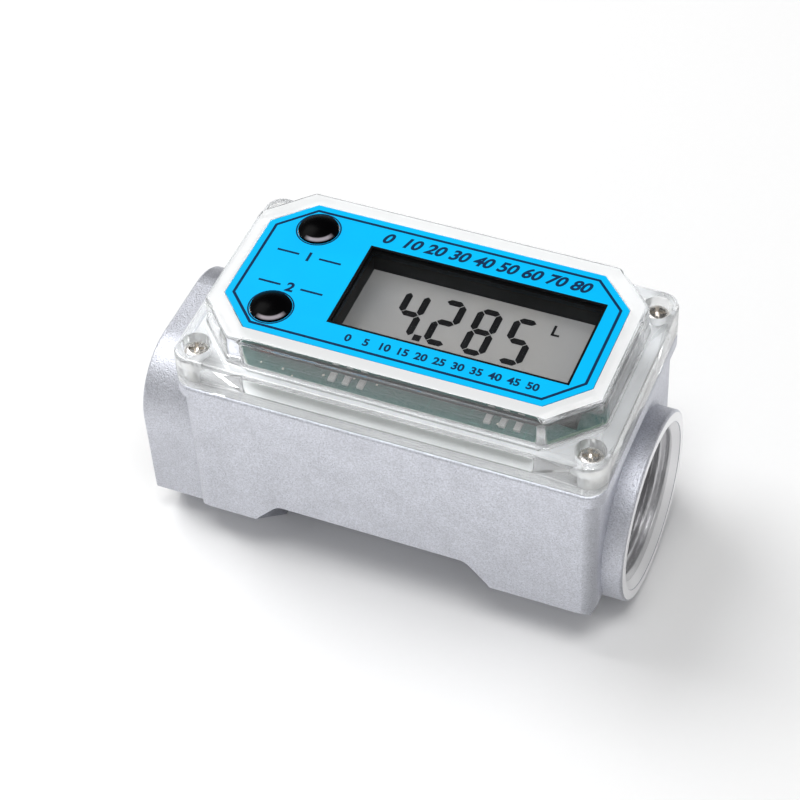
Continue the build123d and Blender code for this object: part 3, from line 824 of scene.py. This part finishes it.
@dataclass
class PipePorts:
    """The pipe threads cut in both ports."""

    axis_height: float
    inlet_face: float
    outlet_face: float
    root_radius: float = 16.62
    crest_radius: float = 15.15
    pitch: float = 2.309
    mouth: float = 1.5
    length: float = 14.6
    bedding: float = 0.06
    crest_gain: float = 1.15
    root_flat: float = 0.04
    run_in: float = 0.8
    clearance: float = 0.01
    around: int = 144
    per_pitch: int = 16

    def thread(self, name: str, face: float, inwards: int) -> bpy.types.Object:
        """A threaded lining.

        The radius is the root less a height times half of one plus the cosine of the axial place in
        pitches less the angle, so one ridge winds along the bore. The gain and the flat make its crest
        and its root level. The height grows from nothing over most of the first and last turn. The
        outer side is a plain cylinder bedded in the wall.

        Args:
            name: the piece's name.
            face: station of the port's end face.
            inwards: 1 where the bore runs towards +X, -1 where it runs towards -X.

        Returns:
            The piece.
        """
        steps = int(self.length / self.pitch * self.per_pitch)
        depth = np.linspace(0, self.length, steps)[:, None]
        angle = np.linspace(0, 2 * pi, self.around, endpoint=False)[None, :]
        wave = 0.5 + 0.5 * np.cos(2 * pi * depth / self.pitch - inwards * angle)
        ridge = np.clip(self.crest_gain * wave - self.root_flat, 0, 1)
        fade = np.clip(np.minimum(depth, self.length - depth) / (self.run_in * self.pitch), 0, 1)
        height = (self.root_radius - self.crest_radius) * ridge * fade
        radius = self.root_radius - self.clearance - height
        station = face + inwards * (self.mouth + depth) + 0 * angle
        wall = np.full_like(radius, self.root_radius + self.bedding)
        inner = self.rounded(station, radius, angle)
        outer = self.rounded(station[::-1], wall, angle)
        points = np.concatenate([inner, outer])
        if inwards > 0:
            points = points[:, ::-1]
        return grid(points).piece(name, 40.0)

    def rounded(self, station: Array, radius: Array, angle: Array) -> Array:
        """Points about the flow axis from stations, radii and angles."""
        up = self.axis_height + radius * np.sin(angle)
        return np.stack([station, radius * np.cos(angle), up], axis=-1)

    def build(self) -> None:
        """Builds and dresses both threads."""
        finish = CutThread().material()
        for name, face, inwards in (("outlet_thread", self.outlet_face, -1),
                                    ("inlet_thread", self.inlet_face, 1)):
            settle(self.thread(name, face, inwards), finish, "housing")


@dataclass
class SealWeb:
    """The inner lip of the cover's seal, laid out in a rectangle one rim in from the gasket's edge."""

    gasket: Box
    rim: float = 5.3
    outer_inset: float = 0.15
    lip_width: float = 5.4
    corner_cut: float = 9.5
    thickness: float = 0.55
    drop: float = 0.12

    def build(self) -> None:
        """Builds the lip, a little under the gasket and clear of the pocket's wall."""
        top = self.gasket.low[2] - self.drop
        web = octagon_band(self.gasket.size[:2] - 2 * self.rim, self.corner_cut, self.gasket.centre[:2],
                           self.outer_inset, self.lip_width, top - self.thickness, top)
        settle(web.piece("seal_web"), Plastic.SEAL_WHITE.material(), "housing")


@dataclass(frozen=True)
class Scale:
    """A row of plain numerals: what it counts, where it stands, and its height and lean."""

    numbers: range
    left: float
    right: float
    y: float
    height: float
    shear: float = 0.0
    weight_share: float = 0.045


@dataclass
class FacePrint:
    """The lines and plain numerals printed on the face film."""

    label: Box
    window_centre: Array
    window_size: Array
    button_places: list[Array]
    corner_cut: float = 7.6
    border_inset: float = 1.35
    border_width: float = 0.58
    window_line: float = 0.45
    window_lap: float = 0.03
    window_bed: float = 0.02
    button_gap: float = 0.32
    button_line: float = 0.28
    button_radius: float = 4.13
    thickness: float = 0.025
    bed: float = 0.005
    caption_x: float = -23.0
    caption_y: Pair = (3.9, -5.4)
    caption_height: float = 2.5
    caption_weight: float = 0.12
    bar_offset: float = 4.6
    bar_size: Pair = (4.8, 0.5)
    upper: Scale = Scale(range(0, 90, 10), -10.0, 31.5, 14.3, 2.9, 0.3)
    lower: Scale = Scale(range(0, 55, 5), -6.5, 32.0, -14.5, 1.9)

    def __post_init__(self) -> None:
        """Works out the height of the print."""
        self.floor = self.label.high[2] - self.bed
        self.roof = self.label.high[2] + self.thickness

    def border(self) -> Skin:
        """The line round the edge: two octagons, one inside the other."""
        return octagon_band(self.label.size[:2], self.corner_cut, self.label.centre[:2],
                            self.border_inset, self.border_width, self.floor, self.roof)

    def window_frame(self) -> Skin:
        """The dark line round the window."""
        inner = rectangle(*(self.window_size - 2 * self.window_lap), self.window_centre)
        outer = rectangle(*(self.window_size + 2 * self.window_line), self.window_centre)
        return frame_ring(outer, inner, self.label.low[2] + self.window_bed, self.roof)

    def button_circles(self) -> Skin:
        """A thin ring round each button's hole."""
        inner = self.button_radius + self.button_gap
        return joined([frame_ring(circle(inner + self.button_line) + place, circle(inner) + place,
                                  self.floor, self.roof) for place in self.button_places])

    def numerals(self, text: str, height: float, x: float, y: float, weight: float,
                 shear: float = 0.0) -> Skin:
        """One run of numerals on the film."""
        place = np.array([x, y, self.floor])
        return lettering(text, height, place, self.roof - self.floor, shear, weight)

    def captions(self) -> Skin:
        """The numerals 1 and 2 between short bars, one set for each button."""
        skins = []
        for text, y in zip("12", self.caption_y):
            skins.append(self.numerals(text, self.caption_height, self.caption_x, y,
                                       self.caption_weight))
            for x in (self.caption_x - self.bar_offset, self.caption_x + self.bar_offset):
                skins.append(plate(rectangle(*self.bar_size, (x, y)), self.floor, self.roof))
        return joined(skins)

    def row(self, scale: Scale) -> Skin:
        """A scale's numerals at even steps."""
        places = np.linspace(scale.left, scale.right, len(scale.numbers))
        weight = scale.weight_share * scale.height
        return joined([self.numerals(str(number), scale.height, x, scale.y, weight, scale.shear)
                       for number, x in zip(scale.numbers, places)])

    def build(self) -> None:
        """Builds and dresses every printed piece."""
        for name, skin, ink in (("face_border", self.border(), Ink.NAVY),
                                ("window_outline", self.window_frame(), Ink.BLACK),
                                ("button_rings", self.button_circles(), Ink.NAVY),
                                ("button_numerals", self.captions(), Ink.NAVY),
                                ("upper_scale", self.row(self.upper), Ink.NAVY),
                                ("lower_scale", self.row(self.lower), Ink.NAVY)):
            settle(skin.piece(name), ink.material(), "housing")


# The bars of each digit by their usual letters, and the two joints of the digit that each bar spans.
DIGIT_BARS = {"0": "abcdef", "1": "bc", "2": "abged", "3": "abgcd", "4": "fgbc", "5": "afgcd",
              "6": "afgedc", "7": "abc", "8": "abcdefg", "9": "abcdfg"}
BAR_ENDS = {"a": ((-1, 1), (1, 1)), "b": ((1, 1), (1, 0)), "c": ((1, 0), (1, -1)),
            "d": ((-1, -1), (1, -1)), "e": ((-1, 0), (-1, -1)), "f": ((-1, 1), (-1, 0)),
            "g": ((-1, 0), (1, 0))}


@dataclass
class Display:
    """The switched on segments of the liquid crystal panel."""

    glass: Box
    reading: str = "4.285"
    digit_width: float = 5.4
    digit_height: float = 13.1
    stroke: float = 1.5
    gap: float = 0.13
    pitch: float = 7.75
    first: Pair = (-13.2, 1.6)
    point_share: float = 1.1
    unit: str = "L"
    unit_place: Pair = (16.2, 7.0)
    unit_height: float = 2.9
    unit_weight: float = 0.08
    thickness: float = 0.03
    bed: float = 0.01

    def mark(self, outline: Array) -> Skin:
        """One dark mark on the glass."""
        return plate(outline, self.glass.high[2] - self.bed, self.glass.high[2] + self.thickness)

    def segment(self, start: Array, stop: Array) -> Skin:
        """One bar with pointed ends between two joints of a digit.

        The outline goes out half a stroke to each side, half a stroke in from each end.
        """
        along = (stop - start) / np.linalg.norm(stop - start)
        side = np.array([-along[1], along[0]]) * self.stroke / 2
        near = start + along * self.gap
        far = stop - along * self.gap
        inset = along * self.stroke / 2
        return self.mark(np.array([near, near + inset - side, far - inset - side, far,
                                   far - inset + side, near + inset + side]))

    def digit(self, character: str, centre: Array) -> list[Skin]:
        """The bars of one digit."""
        half = np.array([self.digit_width - self.stroke, self.digit_height - self.stroke]) / 2
        return [self.segment(*(centre + half * end for end in BAR_ENDS[bar]))
                for bar in DIGIT_BARS[character]]

    def point(self, place: Array) -> Skin:
        """The decimal point, before the digit at a place."""
        side = self.stroke * self.point_share
        shift = (-self.pitch / 2, -self.digit_height / 2 + self.stroke / 2)
        return self.mark(rectangle(side, side, place + shift))

    def build(self) -> None:
        """Builds and dresses the reading and its unit."""
        middle = self.glass.centre[:2]
        place = middle + self.first
        skins: list[Skin] = []
        for character in self.reading:
            if character == ".":
                skins.append(self.point(place))
            else:
                skins += self.digit(character, place)
                place = place + (self.pitch, 0)
        unit = np.array([*(middle + self.unit_place), self.glass.high[2]])
        skins.append(lettering(self.unit, self.unit_height, unit, self.thickness,
                               weight=self.unit_weight))
        settle(joined(skins).piece("display_reading"), Ink.SEGMENT.material(), "housing")


@dataclass
class Electronics:
    """The board, the small parts on it and the batteries, whose looks depend on where they are."""

    can_length: float = 5.2

    def build(self) -> None:
        """Dresses the CAD nodes."""
        board, cell = Box.of("circuit_board"), Box.of("front_battery")
        can = Box.of("board_components").low[0]
        parts = SmallParts(can, can + self.can_length, board.centre[1])
        dress(BoardLaminate(board.high[2]).material(), "circuit_board")
        dress(parts.material(), "board_components")
        dress(BatterySleeve(cell.low[0], cell.high[0]).material(), "front_battery", "back_battery")


@dataclass
class ViewCamera:
    """The camera at the photograph's viewing angle, from a fit to the object's own sizes."""

    place: Triple = (136.14, -296.35, 387.17)
    azimuth: float = 25.15
    elevation: float = 47.25
    roll: float = -3.86
    lens: float = 103.61
    sensor: float = 36.0

    def build(self) -> None:
        """Makes the camera: right, up and back are unit vectors from the three angles."""
        az, el, roll = radians(self.azimuth), radians(self.elevation), radians(self.roll)
        back = Vector((sin(az) * cos(el), -cos(az) * cos(el), sin(el)))
        right = Vector((cos(az), sin(az), 0))
        up = Vector((-sin(az) * sin(el), cos(az) * sin(el), cos(el)))
        right, up = right * cos(roll) + up * sin(roll), up * cos(roll) - right * sin(roll)
        turn = Matrix((right, up, back)).transposed().to_4x4()
        data = bpy.data.cameras.new("view_camera")
        data.lens = self.lens
        data.sensor_width = self.sensor
        data.clip_start = 0.01
        data.clip_end = 20
        camera = place_in_scene("view_camera", data)
        camera.matrix_world = Matrix.Translation(Vector(self.place) * MILLIMETRE) @ turn
        bpy.context.scene.camera = camera


@dataclass
class Studio:
    """A pale floor, two soft boxes and light from all round."""

    floor_side: float = 6000.0
    floor_low: float = -5.0
    floor_top: float = -0.02
    floor_colour: Colour = (0.94, 0.94, 0.94)
    flag_direction: Triple = (-0.288, 0.614, 0.734)
    flag_edge: float = 0.62
    flag_core: float = 0.86
    flag_light: float = 0.03
    room_light: float = 0.42
    target: Triple = (0.0, 0.0, 30.0)
    boxes: tuple[tuple[str, Triple, Pair, float], ...] = (
        ("left_box", (-825, 225, 1230), (900, 900), 13.6),
        ("top_box", (190, -400, 1430), (800, 400), 8.2))

    def floor(self) -> None:
        """A flat pale sheet with a faint grain, just under the feet."""
        outline = rectangle(self.floor_side, self.floor_side)
        sheet = plate(outline, self.floor_low, self.floor_top).piece("studio_floor")
        graph = Graph("studio_paper")
        grain = graph.noise(0.6, 3.0)
        lighter = tuple(part * 1.02 for part in self.floor_colour)
        sheet.data.materials.append(graph.finish(
            Base_Color=graph.blend(grain, self.floor_colour, lighter), Roughness=0.9,
            Specular_IOR_Level=0.1, Normal=graph.bump(grain, 0.02)))

    def lamp(self, name: str, place: Triple, size: Pair, watts: float) -> None:
        """One rectangular soft box that faces the object.

        Args:
            name: the lamp's name.
            place: where it stands, in millimetres.
            size: its width and height, in millimetres.
            watts: its power.
        """
        data = bpy.data.lights.new(name, "AREA")
        data.shape = "RECTANGLE"
        data.size, data.size_y = (side * MILLIMETRE for side in size)
        data.energy = watts
        at = Vector(place) * MILLIMETRE
        aim = Vector(self.target) * MILLIMETRE - at
        turn = aim.to_track_quat("-Z", "Y").to_matrix().to_4x4()
        place_in_scene(name, data).matrix_world = Matrix.Translation(at) @ turn

    def air(self) -> None:
        """Pale light from all round, with a dark flag in the direction that the flat face mirrors.

        The brightness goes from the flag's to the room's as the direction leaves the flag's middle, by
        the dot product of the two.
        """
        world = bpy.data.worlds.new("studio_air")
        world.use_nodes = True
        nodes, links = world.node_tree.nodes, world.node_tree.links
        direction = nodes.new("ShaderNodeTexCoord")
        nearness = nodes.new("ShaderNodeVectorMath")
        nearness.operation = "DOT_PRODUCT"
        nearness.inputs[1].default_value = self.flag_direction
        bright = nodes.new("ShaderNodeMapRange")
        bright.interpolation_type = "SMOOTHSTEP"
        for name, value in (("From Min", self.flag_edge), ("From Max", self.flag_core),
                            ("To Min", self.room_light), ("To Max", self.flag_light)):
            bright.inputs[name].default_value = value
        links.new(direction.outputs["Generated"], nearness.inputs[0])
        links.new(nearness.outputs["Value"], bright.inputs["Value"])
        links.new(bright.outputs[0], nodes["Background"].inputs["Strength"])
        nodes["Background"].inputs["Color"].default_value = (1.0, 1.0, 1.0, 1.0)
        bpy.context.scene.world = world

    def build(self) -> None:
        """Builds the floor, the light from all round and the two soft boxes."""
        self.floor()
        self.air()
        for box in self.boxes:
            self.lamp(*box)
        view = bpy.context.scene.view_settings
        view.view_transform = "Standard"
        view.look = "None"


def build_body() -> None:
    """Dresses the cast body, and adds the threads and the seal's lip."""
    body = Box.of("meter_body")
    ports = (Box.of("flow_sleeve").centre[2], body.low[0], body.high[0])
    dress(CastMetal(*ports, body.high[2]).material(), "meter_body")
    PipePorts(*ports).build()
    SealWeb(Box.of("cover_gasket")).build()


def build_face() -> None:
    """Dresses the cover, the film, the display and the buttons, and adds the print and the reading."""
    label, bezel, glass = Box.of("face_label"), Box.of("display_bezel"), Box.of("display_glass")
    buttons = ("front_button", "back_button")
    ClearPlastic().dress("clear_cover", label, Box.of("cover_screws"))
    dress(PrintedFilm().material(), "face_label")
    dress(LiquidCrystal().material(), "display_glass")
    dress(ButtonGloss().material(), *buttons)
    places = [Box.of(node).centre[:2] for node in buttons]
    FacePrint(label, bezel.centre[:2], bezel.size[:2] - 2 * BEZEL_WALL, places).build()
    Display(glass).build()


def main() -> None:
    """Builds every sub-assembly in order."""
    logging.basicConfig(level=logging.INFO, format="%(name)s: %(message)s")
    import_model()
    for finish, nodes in PLAIN_NODES.items():
        dress(finish.material(), *nodes)
    build_body()
    build_face()
    Electronics().build()
    ViewCamera().build()
    Studio().build()


if __name__ == "__main__":
    main()
